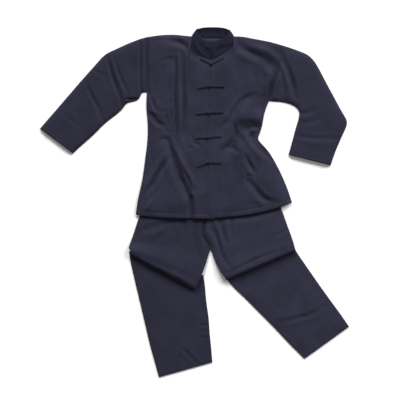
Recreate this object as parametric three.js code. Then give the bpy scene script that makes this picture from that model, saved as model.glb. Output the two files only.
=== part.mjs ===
// A tai chi uniform laid out flat: a long-sleeved jacket with a stand collar and five knotted
// frog closures, lying over a pair of elastic-waist trousers with one tuck at each knee.
// Millimetres, +X across, +Y towards the collar, +Z up. Left and right are as seen from above.
import * as THREE from "three";

// Cloth and how closely its pieces lie.
const WALL = 1.5;
const GAP = 0.3;
const FRONT_BASE = WALL + GAP;
const FLAT_MID = WALL + GAP / 2;

// Jacket.
const SEAT_LIFT = 5; // how high the jacket's back rides where it lies over the trousers
const SEAT_CLEAR = 25;
const SEAT_FADE = 80;
const HIP_SLOPE = 0.49; // how fast the trousers widen below the waist
const BODY_PUFF = 9; // how far the loose fronts stand off the back
const SLEEVE_PUFF = 5.5;
const PUFF_REACH = 45;
const EDGE_LOFT = 0.3; // how far a front's top and hem are along the rise to its full height
const FRONT_COLUMNS = 12;
const NECK_COLUMN = 6;
const BODY_ROWS = 20;
const ARMPIT_ROW = 6;
const SLEEVE_HEIGHT = 3.6;
const SLEEVE_COLUMNS = 8;
const SLEEVE_ROWS = 15;
const SLEEVE_RISE_ROWS = 3; // over how many rows a sleeve rises from its armhole
const TUBE_SQUARENESS = 10; // how flat the middle of a flattened tube is

// Stand collar: one band from the centre front round the back of the neck.
const COLLAR_SEAM_LIFT = FRONT_BASE + WALL;
const COLLAR_FREE_LIFT = 12; // height of the free edge over the fronts
const COLLAR_BACK_LIFT = 6.5; // height of the free edge behind the neck
const COLLAR_BULGE = 1.5;
const COLLAR_CLEAR = GAP + 0.1;
const COLLAR_ACROSS = 4;
const FOLD_STEPS = 4;

// Frog closures: a knotted half on the left front, a looped half on the right front.
const FROG_WIDTH = 8;
const FROG_HEIGHT = 3.5;
const FROG_STATIONS = 5;
const KNOT_RADIUS = 5.5;
const KNOT_RISE = 3.8;
const KNOT_CLEAR = 7;

// Neck label, bare.
const LABEL = { x: 64.5, y: 613, width: 49, height: 13, thick: 1 };

// Trousers.
const LEG_COLUMNS = 7;
const LEG_SWELL = 0.35;
const LEG_PUFF = 3; // how far the loose stretches of a leg's front stand off its back
const KNEE_ROLL = 5.6; // radius of the visible fold
const KNEE_STRETCH = 2.2; // how many times longer its upper half is, where it slopes to the edge
const TUCK_ROLL = 2.2; // radius of the hidden fold under it
const TUCK_LIFT = FLAT_MID + 2 * TUCK_ROLL;
const KNEE_LIFT = TUCK_LIFT + 2 * KNEE_ROLL;
const LEG_STEP = 48;
const FOLD_TAPER = 0.08; // where on a sine wave a fold's height starts
const WAIST = { left: -112, right: 234, bottom: 147.6, height: 34, wall: 1.9, tube: 4.2 };

// A table's rows as objects with the given column names.
function table(columns, rows) {
  return rows.map((row) => Object.fromEntries(columns.map((name, i) => [name, row[i]])));
}

// Jacket outline. The neck point is where shoulder and collar meet.
const SHOULDER_LEFT = table(["x", "y"], [
  [-181, 627], [-131, 634], [-74, 636], [-38, 632], [-10, 629],
]);
const NECK_FRONT_LEFT = table(["x", "y"], [
  [-10, 629], [-17, 606], [-14, 580], [6, 558], [34, 549], [64, 538],
]);
const SHOULDER_RIGHT = table(["x", "y"], [
  [336, 595], [289, 608], [249, 616], [211, 623], [177, 630], [149, 629],
]);
const NECK_FRONT_RIGHT = table(["x", "y"], [
  [149, 629], [156, 612], [151, 594], [132, 579], [110, 564], [88, 550], [64, 538],
]);
const NECK_BACK = table(["x", "y"], [
  [-10, 629], [22, 624], [66, 622], [110, 624], [149, 629],
]);
const ARMHOLE_LEFT = table(["x", "y"], [[-181, 627], [-180, 419]]);
const ARMHOLE_RIGHT = table(["x", "y"], [[336, 595], [283, 384]]);
const SIDE_LEFT = table(["x", "y"], [
  [-180, 419], [-184, 366], [-179, 320], [-177, 275], [-180, 218],
  [-188, 161], [-198, 85], [-215, 9], [-223, -47],
]);
const SIDE_RIGHT = table(["x", "y"], [
  [283, 384], [269, 354], [262, 324], [256, 286], [245, 256], [234, 246],
  [256, 221], [281, 194], [311, 144], [336, 93], [357, 41], [370, 0],
]);
const CENTRE_FRONT = table(["x", "y"], [
  [64, 538], [56, 427], [52, 313], [47, 199], [54, 115], [56, -63],
]);
const HEM_LEFT = table(["x", "y"], [[-223, -47], [-169, -56], [-74, -61], [56, -63]]);
const HEM_RIGHT = table(["x", "y"], [
  [370, 0], [317, -22], [249, -39], [177, -52], [116, -57], [56, -63],
]);
const COLLAR_FREE_LEFT = table(["x", "y"], [
  [11, 656], [14, 641], [18, 628], [29, 617], [44, 609], [64, 604],
]);
const COLLAR_FREE_RIGHT = table(["x", "y"], [
  [131, 652], [126, 639], [117, 627], [102, 618], [84, 611], [67, 604],
]);
const COLLAR_FREE_BACK = table(["x", "y"], [
  [8, 656], [30, 662], [68, 664], [106, 662], [134, 655],
]);

// Sleeves, a row for each section from armhole to cuff. left and right are as seen
// with the cuff pointing down.
const SLEEVE_LEFT = table(["leftX", "leftY", "rightX", "rightY"], [
  [-181.4, 626.5, -180.4, 417],
  [-202, 622, -204, 417],
  [-210, 619, -207, 391],
  [-245, 606, -234, 382],
  [-276, 592, -260, 377],
  [-310, 576, -272, 353],
  [-342, 561, -310, 323],
  [-367, 532, -344, 297],
  [-405, 490, -370, 269],
  [-450, 439, -401, 240],
  [-496, 385, -428, 217],
  [-542, 332, -445, 201],
  [-587, 280, -462, 185],
]);
const SLEEVE_RIGHT = table(["leftX", "leftY", "rightX", "rightY"], [
  [283.4, 384, 336.4, 595],
  [319, 382, 372, 584],
  [355, 377, 405, 571],
  [384, 363, 437, 558],
  [398, 348, 462, 527],
  [398, 326, 484, 485],
  [391, 301, 511, 434],
  [384, 278, 538, 385],
  [378, 257, 564, 335],
  [374, 240, 583, 305],
  [370, 227, 576, 287],
  [365, 208, 557, 244],
  [361, 193, 536, 197],
  [357, 180, 517, 140],
]);

// The jacket's largest folds: a line bent through its middle point, its half width and its
// height, negative where the cloth dips.
const FOLD_COLUMNS = ["x0", "y0", "xm", "ym", "x1", "y1", "width", "height"];
const JACKET_FOLDS = table(FOLD_COLUMNS, [
  [-57, 545, -58, 400, -56, 250, 16, 3.2],
  [-105, 240, -48, 90, -12, -60, 20, -3.5],
  [-60, 230, -15, 120, 14, -20, 22, 3],
  [-118, 150, -135, 95, -170, 60, 18, -2.5],
  [-175, 335, -150, 305, -120, 292, 15, -3],
  [178, 592, 262, 560, 335, 486, 18, -4],
  [200, 560, 260, 528, 300, 470, 20, 3],
  [215, 400, 160, 345, 105, 290, 20, -2.8],
  [190, 375, 140, 330, 95, 285, 20, 2.5],
  [180, 322, 215, 296, 250, 290, 20, -4],
  [208, 272, 226, 268, 242, 268, 14, 5],
  [205, 262, 240, 222, 285, 172, 16, -4],
  [150, 292, 150, 245, 112, 210, 16, -3],
  [200, 162, 215, 140, 232, 115, 16, -3],
  [210, 80, 255, 30, 305, 5, 18, -3.5],
  [235, 100, 270, 60, 320, 40, 22, 3],
  [-332, 556, -300, 450, -272, 366, 16, -3],
  [-403, 440, -372, 370, -350, 320, 18, -2.5],
  [322, 570, 362, 490, 382, 405, 18, -3],
  [345, 560, 385, 490, 404, 410, 20, 3],
  [384, 255, 470, 262, 556, 250, 16, -2],
]);

// Trouser legs, a row for each section from waist to visible fold and from hidden fold to hem.
// lifts are the heights of the leg's middle layer at each edge, loose where folds may rise.
const LEG_COLUMN_NAMES = [
  "leftX", "leftY", "rightX", "rightY", "leftLift", "rightLift", "loose",
];
const LEFT_LEG_UPPER = table(LEG_COLUMN_NAMES, [
  [-112, 147, 59.8, 147, FLAT_MID, FLAT_MID, 0],
  [-162, 47, 59.8, 47, FLAT_MID, FLAT_MID, 0],
  [-209, -52, 46, -56, FLAT_MID, FLAT_MID, 0],
  [-222, -90, 33.5, -96, FLAT_MID, FLAT_MID, 0.4],
  [-230, -117, 35, -122, FLAT_MID, FLAT_MID, 1],
  [-236, -133, 46, -150, 2.5, 2.5, 1],
  [-240, -144, 59.6, -174, 3.5, 3.5, 1],
  [-243, -153, 56, -191, 5, 4.5, 1],
  [-247, -164, 41, -242, 12.5, 11.5, 1],
  [-249, -174, 26, -278, 16.8, 16.8, 1],
  [-249, -193, 2, -330, KNEE_LIFT, KNEE_LIFT, 0],
]);
const LEFT_LEG_LOWER = table(LEG_COLUMN_NAMES, [
  [-247, -184, 34, -278, FLAT_MID, FLAT_MID, 0],
  [-245, -215, 40, -311, FLAT_MID, FLAT_MID, 0],
  [-239, -243, 42, -350, FLAT_MID, FLAT_MID, 0],
  [-227, -295, 46, -385, FLAT_MID, FLAT_MID, 1],
  [-207, -379, 54, -440, FLAT_MID, FLAT_MID, 1],
  [-188, -461, 57, -489, FLAT_MID, FLAT_MID, 1],
  [-169, -542, 63, -550, FLAT_MID, FLAT_MID, 1],
  [-135, -664, 68, -607, FLAT_MID, FLAT_MID, 0],
]);
const RIGHT_LEG_UPPER = table(LEG_COLUMN_NAMES, [
  [60.2, 147, 234, 147, FLAT_MID, FLAT_MID, 0],
  [60.2, 47, 283, 54, FLAT_MID, FLAT_MID, 0],
  [46.5, -56, 331, -26, FLAT_MID, FLAT_MID, 0],
  [34, -96, 339, -50, FLAT_MID, 5.2, 0.4],
  [35.6, -122, 347, -73, FLAT_MID, 8.6, 0.8],
  [46.6, -150, 355, -97, FLAT_MID, 12, 1],
  [60.4, -174, 361, -112, 2.4, 13.5, 1],
  [64, -184, 366, -127, 3.5, 15, 1],
  [84, -238, 371, -142, 10, 16.8, 1],
  [103, -270, 375, -154, 16, 17.2, 1],
  [120, -295, 384, -183, KNEE_LIFT, KNEE_LIFT, 0],
]);
const RIGHT_LEG_LOWER = table(LEG_COLUMN_NAMES, [
  [116.5, -286.5, 342, -115, FLAT_MID, FLAT_MID, 0],
  [158, -332, 384, -183, FLAT_MID, FLAT_MID, 0],
  [177, -349, 401, -209, FLAT_MID, FLAT_MID, 0],
  [196, -367, 420, -236, FLAT_MID, FLAT_MID, 1],
  [249, -421, 469, -307, FLAT_MID, FLAT_MID, 1],
  [302, -474, 515, -371, FLAT_MID, FLAT_MID, 1],
  [359, -535, 557, -428, FLAT_MID, FLAT_MID, 1],
  [418, -594, 587, -472, FLAT_MID, FLAT_MID, 0],
]);
const TROUSER_FOLDS = table(FOLD_COLUMNS, [
  [-200, -125, -140, -95, -60, -75, 22, 4],
  [-165, -180, -110, -135, -70, -100, 22, 4],
  [60, -85, 95, -160, 128, -225, 18, 5],
  [100, -80, 115, -120, 125, -150, 16, 4],
  [130, -250, 250, -215, 365, -170, 16, 3],
  [120, -235, 240, -190, 350, -145, 18, -3],
  [325, -445, 420, -425, 500, -395, 18, 3],
  [-45, -560, -20, -585, 8, -610, 18, 3],
]);

// Frogs from collar to hem: where each half ends, and the knot between them.
const FROGS = table(["leftX", "leftY", "knotX", "knotY", "rightX", "rightY"], [
  [22, 545, 63.5, 524, 111, 548],
  [13, 432, 56.5, 440, 112, 438],
  [6, 335, 53.5, 339, 108, 341],
  [6, 243, 49, 245.5, 101, 250],
  [10, 135, 52, 151, 101, 149],
]);

const clamp01 = (t) => Math.min(1, Math.max(0, t));
const smooth = (t) => clamp01(t) ** 2 * (3 - 2 * clamp01(t));
const mix = THREE.MathUtils.lerp;
const flat = (row) => new THREE.Vector3(row.x, row.y, 0);

// A smooth line through a table's points, as a function of its share of the length.
function along(rows) {
  const curve = new THREE.CatmullRomCurve3(rows.map(flat), false, "centripetal");
  return (t) => curve.getPointAt(clamp01(t));
}

// Two lines end to end, which meet at the share turn.
function joined(first, second, turn) {
  return (t) => (t < turn ? first(t / turn) : second((t - turn) / (1 - turn)));
}

// A surface spanned by four edges that share their corners.
function patch(top, bottom, left, right) {
  return (u, v) => {
    const corner = (edge, s, weight) => edge(s).multiplyScalar(-weight);
    return top(u).multiplyScalar(1 - v)
      .add(bottom(u).multiplyScalar(v))
      .add(left(v).multiplyScalar(1 - u))
      .add(right(v).multiplyScalar(u))
      .add(corner(top, 0, (1 - u) * (1 - v)))
      .add(corner(top, 1, u * (1 - v)))
      .add(corner(bottom, 0, (1 - u) * v))
      .add(corner(bottom, 1, u * v));
  };
}

// The height that a table's folds give at a place.
function foldHeight(folds, x, y) {
  const steps = 10;
  let height = 0;
  for (const fold of folds) {
    let nearest = Infinity;
    let share = 0;
    for (let i = 0; i <= steps; i++) {
      const t = i / steps;
      const px = mix(mix(fold.x0, fold.xm, t), mix(fold.xm, fold.x1, t), t);
      const py = mix(mix(fold.y0, fold.ym, t), mix(fold.ym, fold.y1, t), t);
      const distance = Math.hypot(x - px, y - py);
      if (distance < nearest) {
        nearest = distance;
        share = t;
      }
    }
    const taper = Math.sqrt(Math.sin(Math.PI * mix(FOLD_TAPER, 1 - FOLD_TAPER, share)));
    height += fold.height * taper * Math.exp(-((nearest / fold.width) ** 2));
  }
  return height;
}

// A wall between two sheets of points. quads index both sheets, counter-clockwise seen from
// the upper one, and every open edge of the sheets is closed.
function wall(upper, lower, quads) {
  const count = upper.length;
  const faces = [];
  const directed = new Set();
  const face = (a, b, c) => {
    if (a !== b && b !== c && c !== a) faces.push(a, b, c);
  };
  for (const [a, b, c, d] of quads) {
    face(a, b, c);
    face(a, c, d);
    face(count + a, count + c, count + b);
    face(count + a, count + d, count + c);
    for (const [p, q] of [[a, b], [b, c], [c, d], [d, a]]) directed.add(p + "," + q);
  }
  for (const edge of directed) {
    const [p, q] = edge.split(",").map(Number);
    if (p === q || directed.has(q + "," + p)) continue;
    face(q, p, count + p);
    face(q, count + p, count + q);
  }
  const geometry = new THREE.BufferGeometry().setFromPoints([...upper, ...lower]);
  return geometry.setIndex(faces);
}

// Quads of a grid of rows by columns, joined round where it is a tube.
function gridQuads(rows, columns, round = false) {
  const quads = [];
  for (let r = 0; r < rows - 1; r++)
    for (let c = 0; c < columns - (round ? 0 : 1); c++) {
      const next = (c + 1) % columns;
      quads.push([
        r * columns + c, (r + 1) * columns + c, (r + 1) * columns + next, r * columns + next,
      ]);
    }
  return quads;
}

const uniform = new THREE.Group();
function piece(name, geometry, colour = 0x302f3e, roughness = 0.95) {
  geometry.computeVertexNormals();
  const material = new THREE.MeshStandardMaterial({ color: colour, roughness, metalness: 0 });
  const mesh = new THREE.Mesh(geometry, material);
  mesh.name = name;
  uniform.add(mesh);
  return mesh;
}

// How high the jacket's back lies, which is over the trousers from the hips up to the waist.
function seat(x, y) {
  const widening = HIP_SLOPE * (WAIST.bottom - y);
  const outLeft = WAIST.left - widening - x;
  const outRight = x - WAIST.right - widening;
  const outTop = y - WAIST.bottom - WAIST.height;
  const outside = Math.max(outLeft, outRight, outTop);
  return SEAT_LIFT * (1 - smooth((outside - SEAT_CLEAR) / (SEAT_FADE - SEAT_CLEAR)));
}

// Jacket body: the two fronts are spanned between their edges, and the back has the same points.
const neckShare = NECK_COLUMN / FRONT_COLUMNS;
const armpitShare = ARMPIT_ROW / BODY_ROWS;
const centreFront = along(CENTRE_FRONT);
const frontLeft = patch(
  joined(along(SHOULDER_LEFT), along(NECK_FRONT_LEFT), neckShare),
  along(HEM_LEFT),
  joined(along(ARMHOLE_LEFT), along(SIDE_LEFT), armpitShare),
  centreFront,
);
const frontRight = patch(
  joined(along(SHOULDER_RIGHT), along(NECK_FRONT_RIGHT), neckShare),
  along(HEM_RIGHT),
  joined(along(ARMHOLE_RIGHT), along(SIDE_RIGHT), armpitShare),
  centreFront,
);

// A front's points from its side seam to the centre, row by row from the shoulder to the hem.
function frontPoints(span) {
  const points = [];
  for (let r = 0; r <= BODY_ROWS; r++)
    for (let c = 0; c <= FRONT_COLUMNS; c++)
      points.push(span(c / FRONT_COLUMNS, r / BODY_ROWS));
  return points;
}

// Reverses each quad, for a grid whose columns run the other way across.
const mirrored = (quads) => quads.map(([a, b, c, d]) => [a, d, c, b]);
const bodyQuads = gridQuads(BODY_ROWS + 1, FRONT_COLUMNS + 1);
const raised = (point, z) => new THREE.Vector3(point.x, point.y, z);

function frontPanel(name, points, quads, towardsSide) {
  const columns = FRONT_COLUMNS + 1;
  const heights = points.map((point, i) => {
    const row = Math.floor(i / columns);
    const sideDistance = point.distanceTo(points[row * columns]);
    const topDistance = point.distanceTo(points[i % columns]);
    const hemDistance = point.distanceTo(points[points.length - columns + (i % columns)]);
    const lie = smooth(sideDistance / PUFF_REACH)
      * smooth(EDGE_LOFT + topDistance / PUFF_REACH)
      * smooth(EDGE_LOFT + hemDistance / PUFF_REACH);
    const rise = Math.max(0, BODY_PUFF + foldHeight(JACKET_FOLDS, point.x, point.y));
    return seat(point.x, point.y) + FRONT_BASE + rise * lie;
  });
  const lower = points.map((point, i) => {
    const atCentre = i % columns === columns - 1;
    return raised(point, heights[i]).setX(point.x + (atCentre ? (towardsSide * GAP) / 2 : 0));
  });
  const upper = lower.map((point) => raised(point, point.z + WALL));
  piece(name, wall(upper, lower, quads));
  return { upper, quads };
}

const leftPoints = frontPoints(frontLeft);
const rightPoints = frontPoints(frontRight);
const fronts = [
  frontPanel("jacket_front_left", leftPoints, bodyQuads, -1),
  frontPanel("jacket_front_right", rightPoints, mirrored(bodyQuads), 1),
];

// The back joins both fronts' points along the centre and reaches up to the back of the neck.
function backPanel() {
  const columns = FRONT_COLUMNS + 1;
  const neckBack = along(NECK_BACK);
  const centreIndex = (i) => Math.floor(i / columns) * columns + FRONT_COLUMNS;
  const rightIndex = (i) => (i % columns === FRONT_COLUMNS ? centreIndex(i) : leftPoints.length + i);
  const plan = [...leftPoints, ...rightPoints];
  const quads = [
    ...bodyQuads,
    ...mirrored(bodyQuads).map((quad) => quad.map(rightIndex)),
  ];
  const neckColumns = FRONT_COLUMNS - NECK_COLUMN;
  const neckIndex = (side, step) => {
    if (step === 0) return side * leftPoints.length + NECK_COLUMN;
    return plan.length - 2 * neckColumns + side * neckColumns + step - 1;
  };
  for (const side of [0, 1])
    for (let step = 1; step <= neckColumns; step++) {
      const share = (0.5 * step) / neckColumns;
      plan.push(neckBack(side ? 1 - share : share));
    }
  for (let step = 0; step < neckColumns; step++) {
    const left = NECK_COLUMN + step;
    quads.push([neckIndex(0, step), left, left + 1, neckIndex(0, step + 1)]);
    const right = [left, left + 1].map((i) => rightIndex(i));
    const last = step + 1 === neckColumns;
    const top = last ? neckIndex(0, neckColumns) : neckIndex(1, step + 1);
    quads.push([neckIndex(1, step), top, right[1], right[0]]);
  }
  const used = [...new Set(quads.flat())];
  const place = new Map(used.map((old, now) => [old, now]));
  const lower = used.map((i) => raised(plan[i], seat(plan[i].x, plan[i].y)));
  const upper = lower.map((point) => raised(point, point.z + WALL));
  piece("jacket_back", wall(upper, lower, quads.map((quad) => quad.map((i) => place.get(i)))));
}
backPanel();

// A flattened tube's points round its section: their share of the width, and how full it is.
const tubeAcross = (c) => (1 - Math.cos((Math.PI * c) / SLEEVE_COLUMNS)) / 2;
const tubeFullness = (across) =>
  Math.sqrt(Math.max(0, 1 - Math.abs(2 * across - 1) ** TUBE_SQUARENESS));

// Sleeves are flattened tubes.
function sleeve(name, rows) {
  const edge = (x, y) => new THREE.CatmullRomCurve3(
    rows.map((row) => new THREE.Vector3(row[x], row[y], 0)), false, "centripetal",
  );
  const leftEdge = edge("leftX", "leftY");
  const rightEdge = edge("rightX", "rightY");
  const outer = [];
  const inner = [];
  const half = SLEEVE_HEIGHT / 2;
  for (let r = 0; r <= SLEEVE_ROWS; r++) {
    const left = leftEdge.getPoint(r / SLEEVE_ROWS);
    const right = rightEdge.getPoint(r / SLEEVE_ROWS);
    const inset = WALL / left.distanceTo(right);
    const fromArmhole = smooth((r + 0.6) / SLEEVE_RISE_ROWS);
    for (let c = 0; c < 2 * SLEEVE_COLUMNS; c++) {
      const top = c <= SLEEVE_COLUMNS;
      const side = top ? 1 : -1;
      const across = tubeAcross(c);
      const fullness = tubeFullness(across);
      const at = left.clone().lerp(right, across);
      const rise = Math.max(0, SLEEVE_PUFF + foldHeight(JACKET_FOLDS, at.x, at.y));
      const fold = top ? rise * fullness * fromArmhole : 0;
      outer.push(raised(at, half + side * half * fullness + fold));
      const within = left.clone().lerp(right, mix(inset, 1 - inset, across));
      inner.push(raised(within, half + side * (half - WALL) * fullness + fold));
    }
  }
  piece(name, wall(outer, inner, gridQuads(SLEEVE_ROWS + 1, 2 * SLEEVE_COLUMNS, true)));
}
sleeve("sleeve_left", SLEEVE_LEFT);
sleeve("sleeve_right", SLEEVE_RIGHT);

// The direction down a piece, level and square to a section from left to right.
function forward(left, right) {
  return new THREE.Vector3(right.y - left.y, left.x - right.x, 0).normalize();
}

// A section of a folded band: its two edges, and the way its outer face looks.
function section(left, right, normal, loose = 0) {
  return { left, right, normal, loose };
}

// Sections round a fold. The outer face turns from one angle to the other, 0 up and 180 down.
// stretch draws out the fold's upper half behind its edge.
function turn(left, right, radiusLeft, radiusRight, fromAngle, toAngle, outside, stretch = 1) {
  const ahead = forward(left, right);
  const sections = [];
  for (let i = 0; i <= FOLD_STEPS; i++) {
    const angle = THREE.MathUtils.degToRad(mix(fromAngle, toAngle, i / FOLD_STEPS));
    const drawn = angle < Math.PI / 2 ? stretch : 1;
    const forth = 1 - drawn * (1 - Math.sin(angle));
    const reach = ahead.clone().multiplyScalar(forth).setZ(Math.cos(angle));
    const normal = ahead.clone().multiplyScalar(Math.sin(angle) / drawn).setZ(Math.cos(angle));
    normal.normalize();
    const move = (centre, radius) => centre.clone().addScaledVector(reach, outside * radius);
    sections.push(section(move(left, radiusLeft), move(right, radiusRight), normal));
  }
  return sections;
}

// A wall along sections, its middle moved out from their line by offset.
function band(sections, columns, offset) {
  const upper = [];
  const lower = [];
  for (const { left, right, normal, loose } of sections)
    for (let c = 0; c <= columns; c++) {
      const across = c / columns;
      const at = left.clone().lerp(right, across);
      const out = offset(at, across, loose);
      upper.push(at.clone().addScaledVector(normal, out + WALL / 2));
      lower.push(at.clone().addScaledVector(normal, out - WALL / 2));
    }
  return wall(upper, lower, gridQuads(sections.length, columns + 1));
}

// The collar band runs from the right front edge round the back of the neck to the left one.
// Its seam follows the neck edges' own points.
function collar() {
  const up = new THREE.Vector3(0, 0, 1);
  const steps = FRONT_COLUMNS - NECK_COLUMN;
  const row = (seam, free, seamZ, freeZ) => {
    const towards = free.clone().sub(seam).normalize();
    return [raised(seam.addScaledVector(towards, COLLAR_CLEAR), seamZ), raised(free, freeZ)];
  };
  const frontRows = (neck, freeEdge) => {
    const seamLine = along(neck);
    const freeLine = along(freeEdge);
    return Array.from({ length: steps + 1 }, (_, i) =>
      row(seamLine(i / steps), freeLine(i / steps), COLLAR_SEAM_LIFT, COLLAR_FREE_LIFT));
  };
  const backSeam = along(NECK_BACK);
  const backFree = along(COLLAR_FREE_BACK);
  const bottom = WALL / 2;
  const backRows = Array.from({ length: 2 * steps - 1 }, (_, i) =>
    row(
      backSeam((i + 1) / (2 * steps)),
      backFree((i + 1) / (2 * steps)),
      bottom,
      COLLAR_BACK_LIFT,
    ));
  const seamRadius = (COLLAR_SEAM_LIFT - bottom) / 2;
  const freeRadius = (COLLAR_FREE_LIFT - COLLAR_BACK_LIFT) / 2;
  // The fold beside each shoulder, the outer face turning from up to down or back.
  const fold = (front, back, fromAngle, toAngle) => {
    const seam = front[0].clone().setZ(bottom + seamRadius);
    const free = front[1].clone().lerp(back[1], 0.3).setZ(COLLAR_BACK_LIFT + freeRadius);
    return turn(free, seam, freeRadius, seamRadius, fromAngle, toAngle, 1);
  };
  const left = frontRows(NECK_FRONT_LEFT, COLLAR_FREE_LEFT);
  const right = frontRows(NECK_FRONT_RIGHT, COLLAR_FREE_RIGHT);
  for (const [rows, sign] of [[left, -1], [right, 1]]) {
    const centre = rows[steps];
    for (const point of centre) point.x += sign * GAP;
  }
  const facing = (rows, normal) => rows.map(([seam, free]) => section(free, seam, normal));
  const leftFold = fold(left[0], backRows[0], 0, 180);
  const rightFold = fold(right[0], backRows[backRows.length - 1], 0, -180).reverse();
  const sections = [
    ...facing(left.slice(1).reverse(), up),
    ...leftFold,
    ...facing(backRows, up.clone().negate()),
    ...rightFold,
    ...facing(right.slice(1), up),
  ];
  const bulge = (at, across) => 4 * COLLAR_BULGE * across * (1 - across);
  piece("collar", band(sections, COLLAR_ACROSS, bulge));
}
collar();

piece(
  "neck_label",
  new THREE.BoxGeometry(LABEL.width, LABEL.height, LABEL.thick)
    .translate(LABEL.x, LABEL.y, WALL + GAP + LABEL.thick / 2),
  0x55545f,
);

// Trouser legs: sections down to the visible fold, back up under it to the hidden fold, and down.
function legSections(upper, lower) {
  const rowSections = (rows) => rows.map((row) => section(
    new THREE.Vector3(row.leftX, row.leftY, row.leftLift),
    new THREE.Vector3(row.rightX, row.rightY, row.rightLift),
    new THREE.Vector3(0, 0, 1),
    row.loose,
  ));
  const divided = (sections) => sections.flatMap((from, i) => {
    const to = sections[i + 1];
    if (!to) return [from];
    const length = Math.max(from.left.distanceTo(to.left), from.right.distanceTo(to.right));
    const steps = Math.max(1, Math.round(length / LEG_STEP));
    return Array.from({ length: steps }, (_, s) => section(
      from.left.clone().lerp(to.left, s / steps),
      from.right.clone().lerp(to.right, s / steps),
      from.normal,
      mix(from.loose, to.loose, s / steps),
    ));
  });
  const above = rowSections(upper);
  const below = rowSections(lower);
  const knee = above.pop();
  const tuck = below.shift();
  const centred = (edge, ahead, radius, lift) => edge.clone().addScaledVector(ahead, radius).setZ(lift);
  const kneeAhead = forward(knee.left, knee.right);
  const kneeTurn = turn(
    centred(knee.left, kneeAhead, -KNEE_ROLL, TUCK_LIFT + KNEE_ROLL),
    centred(knee.right, kneeAhead, -KNEE_ROLL, TUCK_LIFT + KNEE_ROLL),
    KNEE_ROLL, KNEE_ROLL, 0, 180, 1, KNEE_STRETCH,
  );
  const tuckAhead = forward(tuck.left, tuck.right);
  const tuckTurn = turn(
    centred(tuck.left, tuckAhead, TUCK_ROLL, FLAT_MID + TUCK_ROLL),
    centred(tuck.right, tuckAhead, TUCK_ROLL, FLAT_MID + TUCK_ROLL),
    TUCK_ROLL, TUCK_ROLL, 180, 0, -1,
  );
  return [...divided([...above, kneeTurn[0]]), ...kneeTurn.slice(1), ...tuckTurn, ...divided(below)];
}

for (const [side, upper, lower] of [
  ["left", LEFT_LEG_UPPER, LEFT_LEG_LOWER],
  ["right", RIGHT_LEG_UPPER, RIGHT_LEG_LOWER],
]) {
  const sections = legSections(upper, lower);
  piece(`trouser_front_${side}`, band(sections, LEG_COLUMNS, (at, across, loose) => {
    const inside = 1 - Math.abs(2 * across - 1) ** 6;
    const rise = Math.max(0, LEG_PUFF + foldHeight(TROUSER_FOLDS, at.x, at.y));
    return FLAT_MID / 2 + GAP / 4 + (LEG_SWELL + loose * rise) * inside;
  }));
  piece(`trouser_back_${side}`, band(sections, LEG_COLUMNS, () => -FLAT_MID / 2 - GAP / 4));
}

// The elastic waistband, a flattened ring above the legs.
function waistband() {
  const outer = [];
  const inner = [];
  const half = WAIST.tube / 2;
  for (const y of [WAIST.bottom + WAIST.height, WAIST.bottom])
    for (let c = 0; c < 2 * SLEEVE_COLUMNS; c++) {
      const across = tubeAcross(c);
      const fullness = tubeFullness(across);
      const side = c <= SLEEVE_COLUMNS ? 1 : -1;
      const x = mix(WAIST.left, WAIST.right, across);
      const within = mix(WAIST.left + WAIST.wall, WAIST.right - WAIST.wall, across);
      outer.push(new THREE.Vector3(x, y, half + side * half * fullness));
      inner.push(new THREE.Vector3(within, y, half + side * (half - WAIST.wall) * fullness));
    }
  piece("trouser_waistband", wall(outer, inner, gridQuads(2, 2 * SLEEVE_COLUMNS, true)));
}
waistband();

// The height of the fronts' upper face at a place, from the face that it is most within.
function heightOnFronts(x, y) {
  const point = new THREE.Vector3(x, y, 0);
  const weights = new THREE.Vector3();
  let within = -Infinity;
  let height = 0;
  for (const { upper, quads } of fronts)
    for (const [a, b, c, d] of quads)
      for (const corners of [[a, b, c], [a, c, d]]) {
        const [p, q, r] = corners.map((i) => upper[i]);
        THREE.Triangle.getBarycoord(point, raised(p, 0), raised(q, 0), raised(r, 0), weights);
        const least = Math.min(weights.x, weights.y, weights.z);
        if (least <= within) continue;
        within = least;
        height = weights.x * p.z + weights.y * q.z + weights.z * r.z;
      }
  return height;
}

// Half a frog: two cords sewn side by side, from its outer end to beside the knot.
function frogHalf(name, fromX, fromY, toX, toY) {
  const outline = 8;
  const points = [];
  const from = new THREE.Vector2(fromX, fromY);
  const to = new THREE.Vector2(toX, toY);
  const run = to.clone().sub(from);
  const stop = 1 - KNOT_CLEAR / run.length();
  const across = new THREE.Vector2(-run.y, run.x).normalize();
  for (let s = 0; s <= FROG_STATIONS; s++) {
    const at = from.clone().addScaledVector(run, (stop * s) / FROG_STATIONS);
    const edges = [-1, 0, 1].map((side) => {
      const beside = at.clone().addScaledVector(across, (side * FROG_WIDTH) / 2);
      return heightOnFronts(beside.x, beside.y);
    });
    const middle = Math.max(...edges) + GAP + FROG_HEIGHT / 2;
    for (let k = 0; k < outline; k++) {
      const angle = (2 * Math.PI * (k + 0.5)) / outline;
      const stretch = 1 / Math.cos(Math.PI / outline);
      const out = at.clone().addScaledVector(across, (Math.cos(angle) * FROG_WIDTH * stretch) / 2);
      const rise = (Math.sin(angle) * FROG_HEIGHT * stretch) / 2;
      points.push(new THREE.Vector3(out.x, out.y, middle + rise));
    }
  }
  const faces = [];
  const ring = (s, k) => s * outline + (k % outline);
  for (let s = 0; s < FROG_STATIONS; s++)
    for (let k = 0; k < outline; k++) {
      faces.push(ring(s, k), ring(s, k + 1), ring(s + 1, k + 1));
      faces.push(ring(s, k), ring(s + 1, k + 1), ring(s + 1, k));
    }
  for (let k = 1; k < outline - 1; k++) {
    faces.push(ring(0, 0), ring(0, k + 1), ring(0, k));
    faces.push(ring(FROG_STATIONS, 0), ring(FROG_STATIONS, k), ring(FROG_STATIONS, k + 1));
  }
  piece(name, new THREE.BufferGeometry().setFromPoints(points).setIndex(faces), 0x24232f, 0.85);
}

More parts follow.
